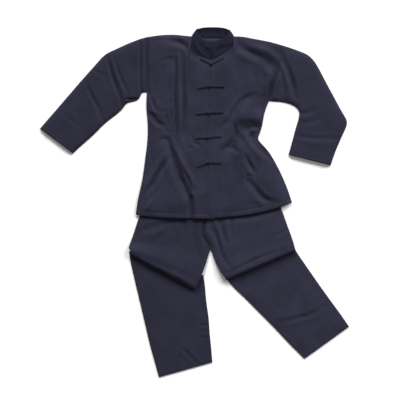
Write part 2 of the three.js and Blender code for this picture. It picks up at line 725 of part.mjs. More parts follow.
FROGS.forEach((frog, i) => {
  const number = i + 1;
  frogHalf(`frog_${number}_left`, frog.leftX, frog.leftY, frog.knotX, frog.knotY);
  frogHalf(`frog_${number}_right`, frog.rightX, frog.rightY, frog.knotX, frog.knotY);
  const around = [0, 1, 2, 3, 4, 5, 6, 7].map((k) => heightOnFronts(
    frog.knotX + KNOT_RADIUS * Math.cos((Math.PI * k) / 4),
    frog.knotY + KNOT_RADIUS * Math.sin((Math.PI * k) / 4),
  ));
  const knot = new THREE.SphereGeometry(1, 10, 7).rotateX(Math.PI / 2);
  const scaled = knot.scale(KNOT_RADIUS, KNOT_RADIUS, KNOT_RISE);
  const mesh = piece(`frog_${number}_knot`, scaled, 0x24232f, 0.85);
  mesh.position.set(frog.knotX, frog.knotY, Math.max(...around) + GAP + KNOT_RISE);
});

// The origin is under the middle of the whole, on the surface it lies on.
const box = new THREE.Box3().setFromObject(uniform);
const middle = box.getCenter(new THREE.Vector3());
uniform.position.set(-middle.x, -middle.y, -box.min.z);

export default uniform;
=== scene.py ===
import math

import bmesh
import bpy
import numpy as np
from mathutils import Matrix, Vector, noise
from mathutils.bvhtree import BVHTree
from mathutils.kdtree import KDTree


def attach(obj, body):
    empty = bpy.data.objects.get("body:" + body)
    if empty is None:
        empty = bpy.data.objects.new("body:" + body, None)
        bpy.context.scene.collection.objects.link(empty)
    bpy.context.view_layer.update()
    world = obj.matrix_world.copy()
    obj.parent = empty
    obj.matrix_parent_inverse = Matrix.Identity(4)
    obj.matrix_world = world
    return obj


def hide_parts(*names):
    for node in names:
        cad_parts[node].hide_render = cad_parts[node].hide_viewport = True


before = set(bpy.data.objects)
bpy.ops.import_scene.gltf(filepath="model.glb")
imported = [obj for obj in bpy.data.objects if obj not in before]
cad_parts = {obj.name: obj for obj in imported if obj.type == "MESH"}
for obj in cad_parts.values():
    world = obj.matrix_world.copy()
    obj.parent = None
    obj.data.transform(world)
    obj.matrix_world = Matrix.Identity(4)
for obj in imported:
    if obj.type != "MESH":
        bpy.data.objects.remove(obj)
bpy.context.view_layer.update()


# Camera: straight above the cloth, far enough away to see it all without distortion.
VIEW_WIDTH = 1.520
VIEW_CENTRE = (0.0209, 0.0086)
LENS = 85.0
SENSOR = 36.0
bpy.ops.object.camera_add(
    location=(*VIEW_CENTRE, VIEW_WIDTH * LENS / SENSOR), rotation=(0, 0, 0)
)
camera = bpy.context.object
camera.name = "camera_above"
camera.data.lens = LENS
camera.data.sensor_width = SENSOR
camera.data.dof.use_dof = False
bpy.context.scene.camera = camera


# Trouser backs: the two lower layers of the legs, plain cotton cut from waist to hem. Each
# runs down to the knee, turns back under itself in a tuck and goes on to the hem.
MM = 0.001
RIM_ANGLE = math.radians(75)
CORNER_ANGLE = math.radians(35)
SMOOTH_ANGLE = math.radians(60)
WELD = 0.01 * MM
rims = {}


def only(*objects):
    """Selects these objects alone, the first of them active."""
    bpy.ops.object.select_all(action="DESELECT")
    for one in objects:
        one.select_set(True)
    bpy.context.view_layer.objects.active = objects[0]


def crease_rims(mesh):
    """Keeps a wall's cut edges crisp when it is subdivided."""
    shape = bmesh.new()
    shape.from_mesh(mesh)
    mark = shape.edges.layers.float.new("crease_edge")
    angle = {edge: edge.calc_face_angle(0) for edge in shape.edges}
    sharp = {edge for edge in shape.edges if angle[edge] > RIM_ANGLE}
    rim_faces = {
        face for face in shape.faces if sum(edge in sharp for edge in face.edges) >= 2
    }
    for edge in shape.edges:
        across = all(face in rim_faces for face in edge.link_faces)
        if edge in sharp or (across and angle[edge] > CORNER_ANGLE):
            edge[mark] = 1.0
    shape.to_mesh(mesh)
    shape.free()


def shell_of(node, name, levels):
    """A fine, smooth copy of a cloth node, as a piece of its own."""
    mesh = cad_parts[node].data.copy()
    mesh.name = name
    mesh.materials.clear()
    shell = bpy.data.objects.new(name, mesh)
    bpy.context.collection.objects.link(shell)
    only(shell)
    bpy.ops.object.mode_set(mode="EDIT")
    bpy.ops.mesh.select_all(action="SELECT")
    bpy.ops.mesh.remove_doubles(threshold=WELD)
    bpy.ops.mesh.tris_convert_to_quads(face_threshold=math.pi, shape_threshold=math.pi)
    bpy.ops.object.mode_set(mode="OBJECT")
    crease_rims(mesh)
    modifier = shell.modifiers.new("rounding", "SUBSURF")
    modifier.levels = levels
    modifier.render_levels = levels
    bpy.ops.object.modifier_apply(modifier=modifier.name)
    bpy.ops.object.shade_smooth_by_angle(angle=SMOOTH_ANGLE)
    creased = np.zeros(len(mesh.edges), np.float32)
    mesh.attributes["crease_edge"].data.foreach_get("value", creased)
    edges = np.zeros(2 * len(mesh.edges), np.int32)
    mesh.edges.foreach_get("vertices", edges)
    rims[name] = np.unique(edges.reshape(-1, 2)[creased > 0.5])
    mesh.attributes.remove(mesh.attributes["crease_edge"])
    return shell


FINE_THREAD = (900, 30)
THICK_THREAD = (210, 9)
CLOUDS = 16
FINE_SHADES = 0.1
# Painted shade: the darkest the colour gets along painted creases, as a share of its own
# colour.
DARKEST_PAINTED_SHADE = 0.42


def cotton(name, colour, grain, slub=0.08, cloud=0.1):
    """Plain-weave cotton, its warp turned from +Y by the grain angle.

    Slub and cloud are how far its thick threads and its uneven dye stray from the colour.
    """
    material = bpy.data.materials.new(name)
    material.use_nodes = True
    nodes, links = material.node_tree.nodes, material.node_tree.links
    shader = nodes["Principled BSDF"]
    shader.inputs["Roughness"].default_value = 0.88
    shader.inputs["Specular IOR Level"].default_value = 0.15
    shader.inputs["Sheen Weight"].default_value = 0.05
    shader.inputs["Sheen Roughness"].default_value = 0.5
    place = nodes.new("ShaderNodeTexCoord")
    turned = nodes.new("ShaderNodeMapping")
    turned.inputs["Rotation"].default_value = (0, 0, grain)
    links.new(place.outputs["Object"], turned.inputs["Vector"])

    def threads(scale):
        stretched = nodes.new("ShaderNodeMapping")
        stretched.inputs["Scale"].default_value = scale
        links.new(turned.outputs["Vector"], stretched.inputs["Vector"])
        slubs = nodes.new("ShaderNodeTexNoise")
        slubs.inputs["Scale"].default_value = 1.0
        slubs.inputs["Detail"].default_value = 2.0
        links.new(stretched.outputs["Vector"], slubs.inputs["Vector"])
        return slubs.outputs["Fac"]

    def blend(kind, share, first, second):
        mixed = nodes.new("ShaderNodeMix")
        mixed.data_type = "RGBA"
        mixed.blend_type = kind
        mixed.inputs["Factor"].default_value = share
        links.new(first, mixed.inputs["A"])
        links.new(second, mixed.inputs["B"])
        return mixed.outputs["Result"]

    def shades(value, low, high):
        ramp = nodes.new("ShaderNodeMapRange")
        ramp.inputs["From Min"].default_value = 0.3
        ramp.inputs["From Max"].default_value = 0.7
        ramp.inputs["To Min"].default_value = low
        ramp.inputs["To Max"].default_value = high
        links.new(value, ramp.inputs["Value"])
        return ramp.outputs["Result"]

    warp = threads((*FINE_THREAD, 1))
    weft = threads((*reversed(FINE_THREAD), 1))
    thick_warp = threads((*THICK_THREAD, 1))
    thick_weft = threads((*reversed(THICK_THREAD), 1))
    cloudy = threads((CLOUDS, CLOUDS, CLOUDS))
    dyed = nodes.new("ShaderNodeRGB")
    dyed.outputs["Color"].default_value = (*colour, 1)
    fine = (1 - FINE_SHADES, 1 + FINE_SHADES)
    tone = blend("MULTIPLY", 1.0, dyed.outputs["Color"], shades(warp, *fine))
    tone = blend("MULTIPLY", 1.0, tone, shades(weft, *fine))
    tone = blend("MULTIPLY", 1.0, tone, shades(thick_warp, 1 - slub, 1 + slub))
    tone = blend("MULTIPLY", 1.0, tone, shades(thick_weft, 1 - slub, 1 + slub))
    tone = blend("MULTIPLY", 1.0, tone, shades(cloudy, 1 - cloud, 1 + cloud))
    # Painted shade: darkens the colour where a piece marks creases, valleys and the places
    # under parts in this attribute.
    painted_crease_shade = nodes.new("ShaderNodeAttribute")
    painted_crease_shade.attribute_name = "painted_crease_shade"
    crease_shade_factor = nodes.new("ShaderNodeMapRange")
    crease_shade_factor.inputs["To Min"].default_value = 1.0
    crease_shade_factor.inputs["To Max"].default_value = DARKEST_PAINTED_SHADE
    links.new(painted_crease_shade.outputs["Fac"], crease_shade_factor.inputs["Value"])
    tone = blend("MULTIPLY", 1.0, tone, crease_shade_factor.outputs["Result"])
    links.new(tone, shader.inputs["Base Color"])
    weave = blend("MIX", 0.5, warp, weft)
    bump = nodes.new("ShaderNodeBump")
    bump.inputs["Strength"].default_value = 0.35
    bump.inputs["Distance"].default_value = 0.3 * MM
    links.new(weave, bump.inputs["Height"])
    links.new(bump.outputs["Normal"], shader.inputs["Normal"])
    return material


# The navy dye, with the left leg made darker than the right as painted shade for the darker
# look of the left side.
LEG_DYE_AND_SHADE = {"left": (0.0164, 0.0157, 0.0312), "right": (0.0196, 0.0188, 0.0369)}
LEG_GRAIN = {"left": math.radians(-22), "right": math.radians(38)}
trouser_cotton = {
    side: cotton(f"trouser_cotton_{side}", LEG_DYE_AND_SHADE[side], LEG_GRAIN[side])
    for side in ("left", "right")
}


def dressed(piece, material, *nodes):
    """Gives a piece its cloth and its body, and hides the nodes that it stands for."""
    piece.data.materials.append(material)
    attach(piece, "root")
    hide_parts(*nodes)


leg_backs = {}
for side in ("left", "right"):
    back = shell_of(f"trouser_back_{side}", f"leg_back_{side}_cloth", 2)
    dressed(back, trouser_cotton[side], f"trouser_back_{side}")
    leg_backs[side] = back


# Jacket back: one panel of cotton from the shoulders to the hem. It lies flat on the floor
# and, below the waist, over the trousers. Inside the neck, under the collar, it has painted
# shade.
DYE = (0.0198, 0.0189, 0.0373)
JACKET_GRAIN = 0.0
# A table of creases or folds has, for each, the points of a line, the half width on its left
# and on its right, and a height, negative where it dips.
# Painted shade on the jacket back inside the neck, under the collar, not a change of shape.
BACK_PAINTED_SHADE = [
    ([(-30, 626), (30, 618), (66, 616), (104, 618), (168, 626)], 16, 16, -0.65),
]


def smooth_line(points, steps=6):
    """A Catmull-Rom line through the points, as an array of places in metres."""
    p = np.array(points, float) * MM
    p = np.vstack([2 * p[0] - p[1], p, 2 * p[-1] - p[-2]])
    line = []
    for a, b, c, d in zip(p, p[1:], p[2:], p[3:]):
        for t in np.arange(steps) / steps:
            line.append(
                0.5 * (2 * b + (c - a) * t + (2 * a - 5 * b + 4 * c - d) * t**2
                       + (3 * b - a - 3 * c + d) * t**3)
            )
    line.append(p[-2])
    return np.array(line)


RELIEF = 1.7
LIP = 0.28
LIP_PLACE = 2.0
LIP_WIDTH = 0.9
UNEVEN = 0.18


def crease(xy, points, left_width, right_width, height):
    """The height that one crease gives at each place: a trough or ridge between low lips."""
    line = smooth_line(points)
    lengths = np.concatenate([[0], np.cumsum(np.hypot(*np.diff(line, axis=0).T))])
    nearest = np.full(len(xy), np.inf)
    side = np.zeros(len(xy))
    share = np.zeros(len(xy))
    for i in range(len(line) - 1):
        run = line[i + 1] - line[i]
        span = run @ run
        t = np.clip((xy - line[i]) @ run / span, 0, 1)
        away = xy - line[i] - t[:, None] * run
        distance = np.hypot(*away.T)
        closer = distance < nearest
        nearest[closer] = distance[closer]
        side[closer] = (run[0] * away[:, 1] - run[1] * away[:, 0])[closer]
        share[closer] = ((lengths[i] + t * math.sqrt(span)) / lengths[-1])[closer]
    width = np.where(side > 0, left_width, right_width) * MM
    reach = nearest / width
    taper = np.sin(np.pi * (0.05 + 0.9 * share)) ** 0.7
    uneven = 1 + UNEVEN * np.sin(9 * share + 40 * lengths[-1] + 5 * line[0, 0] / MM)
    profile = np.exp(-(reach**1.8))
    profile -= LIP * np.exp(-(((reach - LIP_PLACE) / LIP_WIDTH) ** 2))
    return RELIEF * height * MM * taper * uneven * profile


def creases(xy, table):
    """All the creases of a table together."""
    height = np.zeros(len(xy))
    for points, left_width, right_width, depth in table:
        line = np.array(points, float) * MM
        margin = 4 * max(left_width, right_width) * MM
        near = np.all((xy > line.min(0) - margin) & (xy < line.max(0) + margin), axis=1)
        height[near] += crease(xy[near], points, left_width, right_width, depth)
    return height


def places(mesh):
    """The vertices' places, and how far each one's normal looks up."""
    co = np.zeros(3 * len(mesh.vertices))
    mesh.vertices.foreach_get("co", co)
    up = np.zeros(3 * len(mesh.vertices))
    mesh.vertices.foreach_get("normal", up)
    return co.reshape(-1, 3), up.reshape(-1, 3)[:, 2]


def paint_crease_shade(piece, table):
    """Paints shade into the colour along the lines of a table, darker where its height dips."""
    mesh = piece.data
    depth = -creases(places(mesh)[0][:, :2], table) / (RELIEF * MM)
    painted_crease_shade = mesh.attributes.new("painted_crease_shade", "FLOAT", "POINT")
    painted_crease_shade.data.foreach_set("value", np.clip(depth, 0, 1).astype(np.float32))


def tree_of(piece):
    """A piece's faces, for finding what lies over or under a point."""
    mesh = piece.data
    return BVHTree.FromPolygons(
        [vertex.co for vertex in mesh.vertices],
        [face.vertices for face in mesh.polygons],
    )


jacket_cotton = cotton("jacket_cotton", DYE, JACKET_GRAIN, slub=0.09, cloud=0.18)
jacket_back = shell_of("jacket_back", "jacket_back_cloth", 2)
dressed(jacket_back, jacket_cotton, "jacket_back")
paint_crease_shade(jacket_back, BACK_PAINTED_SHADE)
jacket_back_tree = tree_of(jacket_back)


# Trouser fronts: the legs' upper layers, creased by wear below the jacket and pushed up into
# a tuck at each knee, where the cloth doubles over and throws a deep fold.
CROTCH_CREASES = [
    ([(46, -50), (33, -95), (34, -122), (47, -151), (60, -176)], 8, 7, -3.4),
]
LEG_CREASES = {
    "left": [
        ([(-222, -121), (-162, -98), (-74, -67)], 12, 12, -1.8),
        ([(-169, -174), (-124, -128), (-86, -79)], 12, 12, -1.8),
        ([(18, -70), (14, -120), (26, -170), (36, -215)], 9, 9, 1.2),
        ([(-204, -215), (-134, -249), (-68, -277), (2, -315)], 9, 9, 1.4),
        ([(-51, -552), (-17, -584), (13, -617)], 7, 7, -1.3),
        ([(17, -465), (63, -470)], 4, 4, -0.8),
        ([(21, -489), (63, -491)], 4, 4, -0.5),
        ([(25, -516), (66, -516)], 4, 4, -0.7),
    ],
    "right": [
        ([(57, -45), (68, -98), (82, -125), (106, -204), (131, -242)], 7, 9, -3),
        ([(93, -48), (106, -119), (120, -155)], 7, 7, -2.2),
        ([(142, -56), (139, -102), (136, -136)], 7, 7, -1.6),
        ([(124, -67), (124, -132)], 8, 7, 2),
        ([(302, -134), (352, -98)], 7, 7, -1),
        ([(113, -270), (161, -251), (243, -211), (319, -180)], 6, 5, -1.1),
        ([(109, -292), (193, -256), (293, -213), (377, -178)], 10, 9, 2.2),
        ([(90, -88), (200, -78), (320, -46)], 20, 20, 1.6),
        ([(317, -455), (382, -442), (434, -429), (469, -411), (507, -389)], 8, 8, -1.6),
    ],
}
# Painted shade along the valley of the crotch seam, not a change of shape.
LEG_PAINTED_SHADE = [
    ([(48, -46), (36, -96), (34, -124), (47, -147), (61, -178)], 6, 6, -0.9),
]
LEG_SEED = 1.5
WALL = 1.5 * MM
COVERED = 2
STEP_OFF = 0.05 * MM


def unevenness(xy, seed):
    """The slight waviness of washed cotton, in waves of about 60 and 20 millimetres."""
    wide, fine = 55 * MM, 19 * MM
    height = np.empty(len(xy))
    for i, (x, y) in enumerate(xy):
        height[i] = 0.75 * noise.noise(Vector((x / wide, y / wide, seed)))
        height[i] += 0.3 * noise.noise(Vector((x / fine, y / fine, seed + 9)))
    return height * MM


def smoothstep(t):
    """Eases from 0 to 1, level at both ends."""
    t = np.clip(t, 0, 1)
    return t * t * (3 - 2 * t)


def finder_of(points):
    """Finds the nearest of some points."""
    finder = KDTree(len(points))
    for i, point in enumerate(points):
        finder.insert(point, i)
    finder.balance()
    return finder


SEAM_GAP = 4 * MM
SEAM_REACH = 8 * MM


def rim_distance(piece, sewn_to, hem):
    """How far each vertex is from its cut edges, but for those sewn to nodes and the hem."""
    vertices = piece.data.vertices
    edge = [vertices[i].co for i in rims[piece.name]]
    for node in sewn_to:
        tree = tree_of(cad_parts[node])
        edge = [place for place in edge if tree.find_nearest(place)[3] > SEAM_GAP]
    if hem:
        hem_finder = finder_of([Vector((x, y, 0)) for x, y in smooth_line(hem, 24)])
        edge = [
            place for place in edge
            if hem_finder.find(Vector((place.x, place.y, 0)))[2] > SEAM_REACH
        ]
    finder = finder_of(edge)
    return np.array([finder.find(vertex.co)[2] for vertex in vertices])


def sew(piece, *neighbours):
    """Draws a piece's cut edges up to those of its neighbours where they nearly meet."""
    vertices = piece.data.vertices
    theirs = [one.data.vertices[i].co for one in neighbours for i in rims[one.name]]
    there = finder_of(theirs)
    own = [vertices[i].co.copy() for i in rims[piece.name]]
    pulls = []
    for place in own:
        near, _, distance = there.find(place)
        pull = near - place if distance < SEAM_GAP else Vector((0, 0, 0))
        pulls.append(Vector((pull.x, pull.y, 0)))
    here = finder_of(own)
    for vertex in vertices:
        i, distance = here.find(vertex.co)[1:]
        vertex.co += pulls[i] * float(smoothstep(1 - distance / SEAM_REACH))
    piece.data.update()


def heights(tree, xy, start, direction, missing):
    """Where a ray up or down from each place first meets a piece."""
    found = np.full(len(xy), missing, float)
    for i, (x, y) in enumerate(xy):
        z = start if np.isscalar(start) else start[i]
        hit = tree.ray_cast(Vector((x, y, z)), Vector((0, 0, direction)))[0]
        if hit is not None:
            found[i] = hit.z
    return found


OVER_ALL = 0.1
CLEAR = 0.2 * MM
SEAM_FADE = 9 * MM


def lay(piece, table, seed, floor, weight=None, ceiling=None, sewn_to=(), hem=()):
    """Creases a wall's visible layer, kept clear of what lies under and over it."""
    mesh = piece.data
    co, up = places(mesh)
    xy = co[:, :2]
    move = creases(xy, table) + unevenness(xy, seed)
    move *= smoothstep(rim_distance(piece, sewn_to, hem) / SEAM_FADE)
    if weight is not None:
        move *= weight
    under = co[:, 2] - np.where(up > 0, WALL, 0)
    move = np.maximum(move, -np.maximum(under - floor - CLEAR, 0))
    if ceiling is not None:
        over = co[:, 2] + np.where(up > 0, 0, WALL)
        move = np.minimum(move, np.maximum(ceiling - over - CLEAR, 0))
    co[:, 2] += move
    mesh.vertices.foreach_set("co", co.ravel())
    mesh.update()


def layers_above(tree, point):
    """How many faces lie over a point of a piece, up to COVERED."""
    count = 0
    start = point + Vector((0, 0, STEP_OFF))
    while count < COVERED:
        hit = tree.ray_cast(start, Vector((0, 0, 1)))[0]
        if hit is None:
            return count
        count += 1
        start = hit + Vector((0, 0, STEP_OFF))
    return count


legs = {}
for side in ("left", "right"):
    leg = shell_of(f"trouser_front_{side}", f"leg_front_{side}_cloth", 3)
    dressed(leg, trouser_cotton[side], f"trouser_front_{side}")
    own_tree = tree_of(leg)
    co, _ = places(leg.data)
    on_top = np.array([layers_above(own_tree, v.co) < COVERED for v in leg.data.vertices])
    floor = heights(tree_of(leg_backs[side]), co[:, :2], OVER_ALL, -1, 0)
    ceiling = heights(jacket_back_tree, co[:, :2], co[:, 2], 1, OVER_ALL)
    other = {"left": "right", "right": "left"}[side]
    lay(leg, LEG_CREASES[side] + CROTCH_CREASES, LEG_SEED, floor, on_top.astype(float), ceiling,
        [f"trouser_front_{other}"])
    paint_crease_shade(leg, LEG_PAINTED_SHADE)
    legs[side] = leg
sew(legs["right"], legs["left"])


# Waistband: a tube of cotton over elastic, hidden under the jacket.
waistband = shell_of("trouser_waistband", "waistband_cloth", 2)
dressed(waistband, trouser_cotton["left"], "trouser_waistband")


# Sleeves: each a flattened tube set into a straight armhole, creased at the shoulder and
# along its length, with a plain turned cuff.
SHOULDER_CREASES = {
    "left": [
        ([(-183, 655), (-184, 520), (-182, 389)], 7, 7, -4),
        ([(-194, 655), (-194, 389)], 5, 5, 2),
        ([(-206, 655), (-206, 389)], 6, 6, -2.2),
    ],
    "right": [
        ([(154, 606), (197, 574), (248, 549), (282, 524), (308, 496)], 14, 14, -4.2),
        ([(237, 588), (275, 574), (310, 548), (334, 514)], 9, 10, 1.6),
        ([(296, 506), (290, 490), (283, 465), (270, 427), (262, 386)], 6, 14, 3.2),
        ([(334, 524), (327, 502), (317, 465), (306, 427), (300, 386)], 12, 6, 3.2),
    ],
}
# Painted shade: where the colour is darkened, in the armhole valleys, deep creases and hollows,
# the hollow at the right of the waist and below a frog.
JACKET_PAINTED_SHADE = {
    "left": [
        ([(-182, 650), (-183, 520), (-182, 392)], 4, 4, -0.45),
        ([(-44, 450), (-42, 390), (-42, 320), (-46, 262)], 5, 5, -0.5),
        ([(-24, 22), (-14, -18), (-11, -66)], 4, 4, -0.45),
        ([(-8, 226), (50, 214), (104, 222)], 15, 15, -0.22),
        ([(-60, 612), (-34, 592), (-8, 566), (20, 552), (60, 534)], 11, 9, -0.5),
    ],
    "right": [
        ([(64, 534), (108, 558), (134, 572), (158, 588), (176, 616)], 8, 10, -0.5),
        ([(315, 500), (301, 464), (290, 427), (280, 378)], 8, 9, -1.2),
        ([(196, 582), (256, 558), (290, 539), (308, 516)], 8, 9, -0.5),
        ([(168, 300), (211, 299), (252, 296)], 17, 19, -0.85),
        ([(133, 242), (114, 219), (90, 203)], 10, 9, -0.7),
        ([(236, 254), (254, 220), (279, 192), (308, 143)], 7, 6, -0.85),
        ([(-8, 226), (50, 214), (104, 222)], 15, 15, -0.22),
    ],
}
SLEEVE_CREASES = {
    "left": [
        ([(-334, 571), (-325, 525), (-313, 478), (-300, 442), (-288, 410), (-274, 351)],
         10, 6, -3),
        ([(-314, 567), (-283, 478), (-247, 404)], 6, 6, -1.3),
        ([(-321, 563), (-298, 476), (-264, 385)], 7, 6, 1.2),
        ([(-414, 461), (-401, 423), (-382, 385), (-367, 358), (-348, 305)], 8, 6, -2.2),
        ([(-386, 506), (-363, 491), (-334, 476)], 6, 6, -1),
        ([(-504, 341), (-473, 316), (-443, 290)], 7, 7, -0.8),
        ([(-260, 392), (-241, 390), (-222, 392)], 5, 5, -2.4),
    ],
    "right": [
        ([(314, 601), (329, 552), (340, 526), (353, 497), (364, 468), (373, 438), (382, 396)],
         9, 8, -3.6),
        ([(336, 518), (350, 465), (353, 400)], 8, 8, 2.5),
        ([(370, 251), (439, 244), (496, 240), (564, 240)], 8, 8, -1),
        ([(390, 339), (424, 339), (462, 351)], 8, 8, -1.2),
        ([(401, 297), (446, 305), (484, 324)], 9, 9, -0.8),
    ],
}
SLEEVE_GRAIN = {"left": math.radians(-49), "right": math.radians(33)}
# The navy dye, with the left sleeve made darker than the right as painted shade for the darker
# look of the left side.
SLEEVE_DYE_AND_SHADE = {"left": (0.0174, 0.0166, 0.0327), "right": (0.0193, 0.0184, 0.036)}
SLEEVE_MIDDLE = 1.8 * MM
SLEEVE_BLEND = 0.5 * MM
JACKET_SEED = 3.5
sleeves = {}
for side in ("left", "right"):
    sleeve = shell_of(f"sleeve_{side}", f"sleeve_{side}_cloth", 3)
    sleeve_cotton = cotton(f"sleeve_cotton_{side}", SLEEVE_DYE_AND_SHADE[side], SLEEVE_GRAIN[side])
    dressed(sleeve, sleeve_cotton, f"sleeve_{side}")
    co, _ = places(sleeve.data)
    on_top = np.clip((co[:, 2] - SLEEVE_MIDDLE) / SLEEVE_BLEND, 0, 1)
    lay(sleeve, SLEEVE_CREASES[side] + SHOULDER_CREASES[side], JACKET_SEED, WALL, on_top,
        sewn_to=[f"jacket_front_{side}"])
    paint_crease_shade(sleeve, JACKET_PAINTED_SHADE[side])
    sew(sleeve, jacket_back)
    sleeves[side] = sleeve


# Jacket fronts: two panels that meet at the centre, from the shoulder seam to the hem. Worn
# cotton, it dips in long creases from the armholes and bunches at the right of the waist.
FRONT_CREASES = {
    "left": [
        ([(-60, 560), (-60, 427), (-58, 332), (-60, 244)], 6, 6, 3.4),
        ([(-71, 548), (-71, 408), (-70, 265)], 6, 6, -3),
        ([(-47, 563), (-43, 427), (-42, 332), (-46, 250)], 9, 7, -3.8),
        ([(-124, 533), (-104, 542), (-87, 543), (-76, 533), (-70, 514)], 7, 7, -1.2),
        ([(-93, 611), (-63, 605), (-40, 596), (-17, 571), (6, 552)], 10, 10, -3),
        ([(-192, 340), (-163, 330), (-150, 313), (-138, 300), (-118, 290)], 7, 9, -3.6),
        ([(-171, 419), (-163, 389), (-155, 366), (-146, 341), (-132, 318)], 7, 5, -1.6),
        ([(-162, 358), (-142, 337), (-124, 316)], 6, 6, 1.4),
        ([(-131, 339), (-104, 347)], 6, 6, -1),
        ([(-110, 343), (-106, 320), (-104, 294)], 5, 6, -1.2),
        ([(-80, 354), (-89, 317), (-97, 286)], 6, 6, -1.4),
        ([(-126, 238), (-108, 239), (-99, 226), (-92, 203), (-83, 180), (-74, 149),
          (-66, 123), (-54, 92), (-38, 62), (-25, 31), (-15, 9), (-12, -29), (-9, -83)],
         9, 15, -5),
        ([(-68, 200), (-52, 164), (-38, 130), (-18, 96), (-2, 62)], 10, 9, 3.2),
        ([(-40, 123), (-27, 96), (-19, 69), (-14, 39)], 6, 6, -1.8),
        ([(-99, 165), (-116, 137), (-128, 119), (-139, 101), (-149, 81), (-162, 60),
          (-180, 36)], 8, 9, -4.8),
        ([(-120, 178), (-139, 140), (-160, 96)], 8, 8, 1.8),
        ([(-166, 225), (-165, 191), (-162, 161), (-158, 123)], 6, 6, -1.3),
        ([(-10, 246), (1, 225), (25, 212)], 6, 7, -1.5),
        ([(-28, 206), (-10, 206)], 5, 5, -1.1),
        ([(-146, 24), (-173, -10), (-196, -41)], 9, 9, 1.5),
        ([(-31, 25), (-33, -75)], 7, 6, 1.6),
        ([(-12, 20), (-16, -20), (-18, -75)], 6, 6, -3.6),
        ([(-126, -58), (-74, -61), (0, -64), (90, -63)], 15, 20, 2),
        ([(-225, -27), (-169, -36), (-74, -41), (0, -43), (90, -43)], 4, 4, -0.6),
        ([(-184, 623), (-112, 624), (-17, 620)], 5, 5, 0.8),
    ],
    "right": [
        ([(226, 522), (224, 495), (226, 465)], 7, 7, -0.8),
        ([(267, 480), (262, 442), (258, 396)], 7, 7, -1.6),
        ([(279, 533), (281, 495)], 6, 6, -1),
        ([(230, 409), (196, 395), (173, 379), (156, 356), (139, 330), (125, 307),
          (93, 280)], 14, 8, -2.6),
        ([(160, 314), (190, 320), (222, 319), (264, 316)], 36, 21, 5.6),
        ([(209, 266), (228, 272), (247, 268)], 7, 7, 2.4),
        ([(168, 296), (172, 320), (184, 340)], 8, 8, 1.6),
        ([(203, 276), (213, 250), (226, 238), (240, 220), (253, 205), (268, 190),
          (293, 166)], 9, 12, -5),
        ([(230, 240), (260, 210), (291, 176)], 5, 5, 2.2),
        ([(147, 301), (153, 278), (154, 252)], 6, 6, -2),
        ([(165, 305), (165, 263)], 6, 6, 1.7),
        ([(157, 256), (143, 230), (132, 213), (110, 190)], 20, 9, -4.6),
        ([(129, 211), (149, 205), (165, 187)], 6, 8, -2),
        ([(165, 256), (184, 233), (201, 202)], 10, 10, -1.6),
        ([(191, 179), (205, 149), (215, 132), (229, 111)], 7, 8, -3),
        ([(198, 117), (222, 104)], 6, 6, 1.7),
        ([(194, 88), (221, 62), (234, 46), (244, 34), (256, 21), (276, 8), (308, 2)],
         9, 11, -3),
        ([(192, 142), (179, 119), (173, 96), (170, 47)], 8, 8, -1.3),
        ([(131, 130), (131, 39)], 8, 8, 0.8),
        ([(20, -63), (116, -57), (177, -52), (249, -39), (317, -22), (390, 5)], 16, 20, 1.6),
        ([(20, -43), (116, -37), (177, -32), (249, -19), (317, -2), (390, 25)], 4, 4, -0.6),
    ],
}
HEMS = {
    "left": [(-223, -47), (-169, -56), (-74, -61), (56, -63)],
    "right": [(57, -63), (116, -57), (177, -52), (249, -39), (317, -22), (370, 0)],
}
fronts = {}
for side in ("left", "right"):
    front = shell_of(f"jacket_front_{side}", f"jacket_front_{side}_cloth", 3)
    dressed(front, jacket_cotton, f"jacket_front_{side}")
    co, _ = places(front.data)
    floor = heights(jacket_back_tree, co[:, :2], OVER_ALL, -1, WALL)
    lay(front, FRONT_CREASES[side] + SHOULDER_CREASES[side], JACKET_SEED, floor,
        sewn_to=[f"sleeve_{side}"], hem=HEMS[side])
    paint_crease_shade(front, JACKET_PAINTED_SHADE[side])
    sew(front, sleeves[side])
    fronts[side] = front


# Stand collar: one band of doubled cotton round the neck, folded at both shoulders, with a
# dark cotton tape that covers its seam inside the back of the neck.
COLLAR_CREASES = [
    ([(17, 600), (40, 576), (56, 560)], 10, 8, -1.6),
    ([(28, 592), (52, 588), (66, 596)], 6, 6, 0.8),
    ([(118, 588), (96, 580), (82, 566)], 8, 8, -1.2),
    ([(146, 606), (138, 592), (122, 584)], 6, 6, -0.9),
    ([(2, 612), (8, 590), (22, 570)], 6, 6, 0.7),
]
# The collar's colour is the navy cotton made darker and bluer, as painted shade for the shade
# in which the collar lies.
COLLAR_DYE_AND_SHADE = (0.0102, 0.0099, 0.0248)
TAPE_DYE = (0.0055, 0.0053, 0.017)
NECK_TAPE = [(21, 629), (44, 627.5), (66, 627), (90, 627.5), (112, 628.5)]
COLLAR_SEED = 7.5
TAPE_WIDTH = 10 * MM
TAPE_RISE = 0.3 * MM
TAPE_THICKNESS = 0.5 * MM
collar = shell_of("collar", "collar_cloth", 3)
outward = (places(collar.data)[1] > 0).astype(float)
lay(collar, COLLAR_CREASES, COLLAR_SEED, 0, outward)
sew(collar, jacket_back, *fronts.values())
dressed(collar, cotton("collar_cotton", COLLAR_DYE_AND_SHADE, JACKET_GRAIN), "collar")

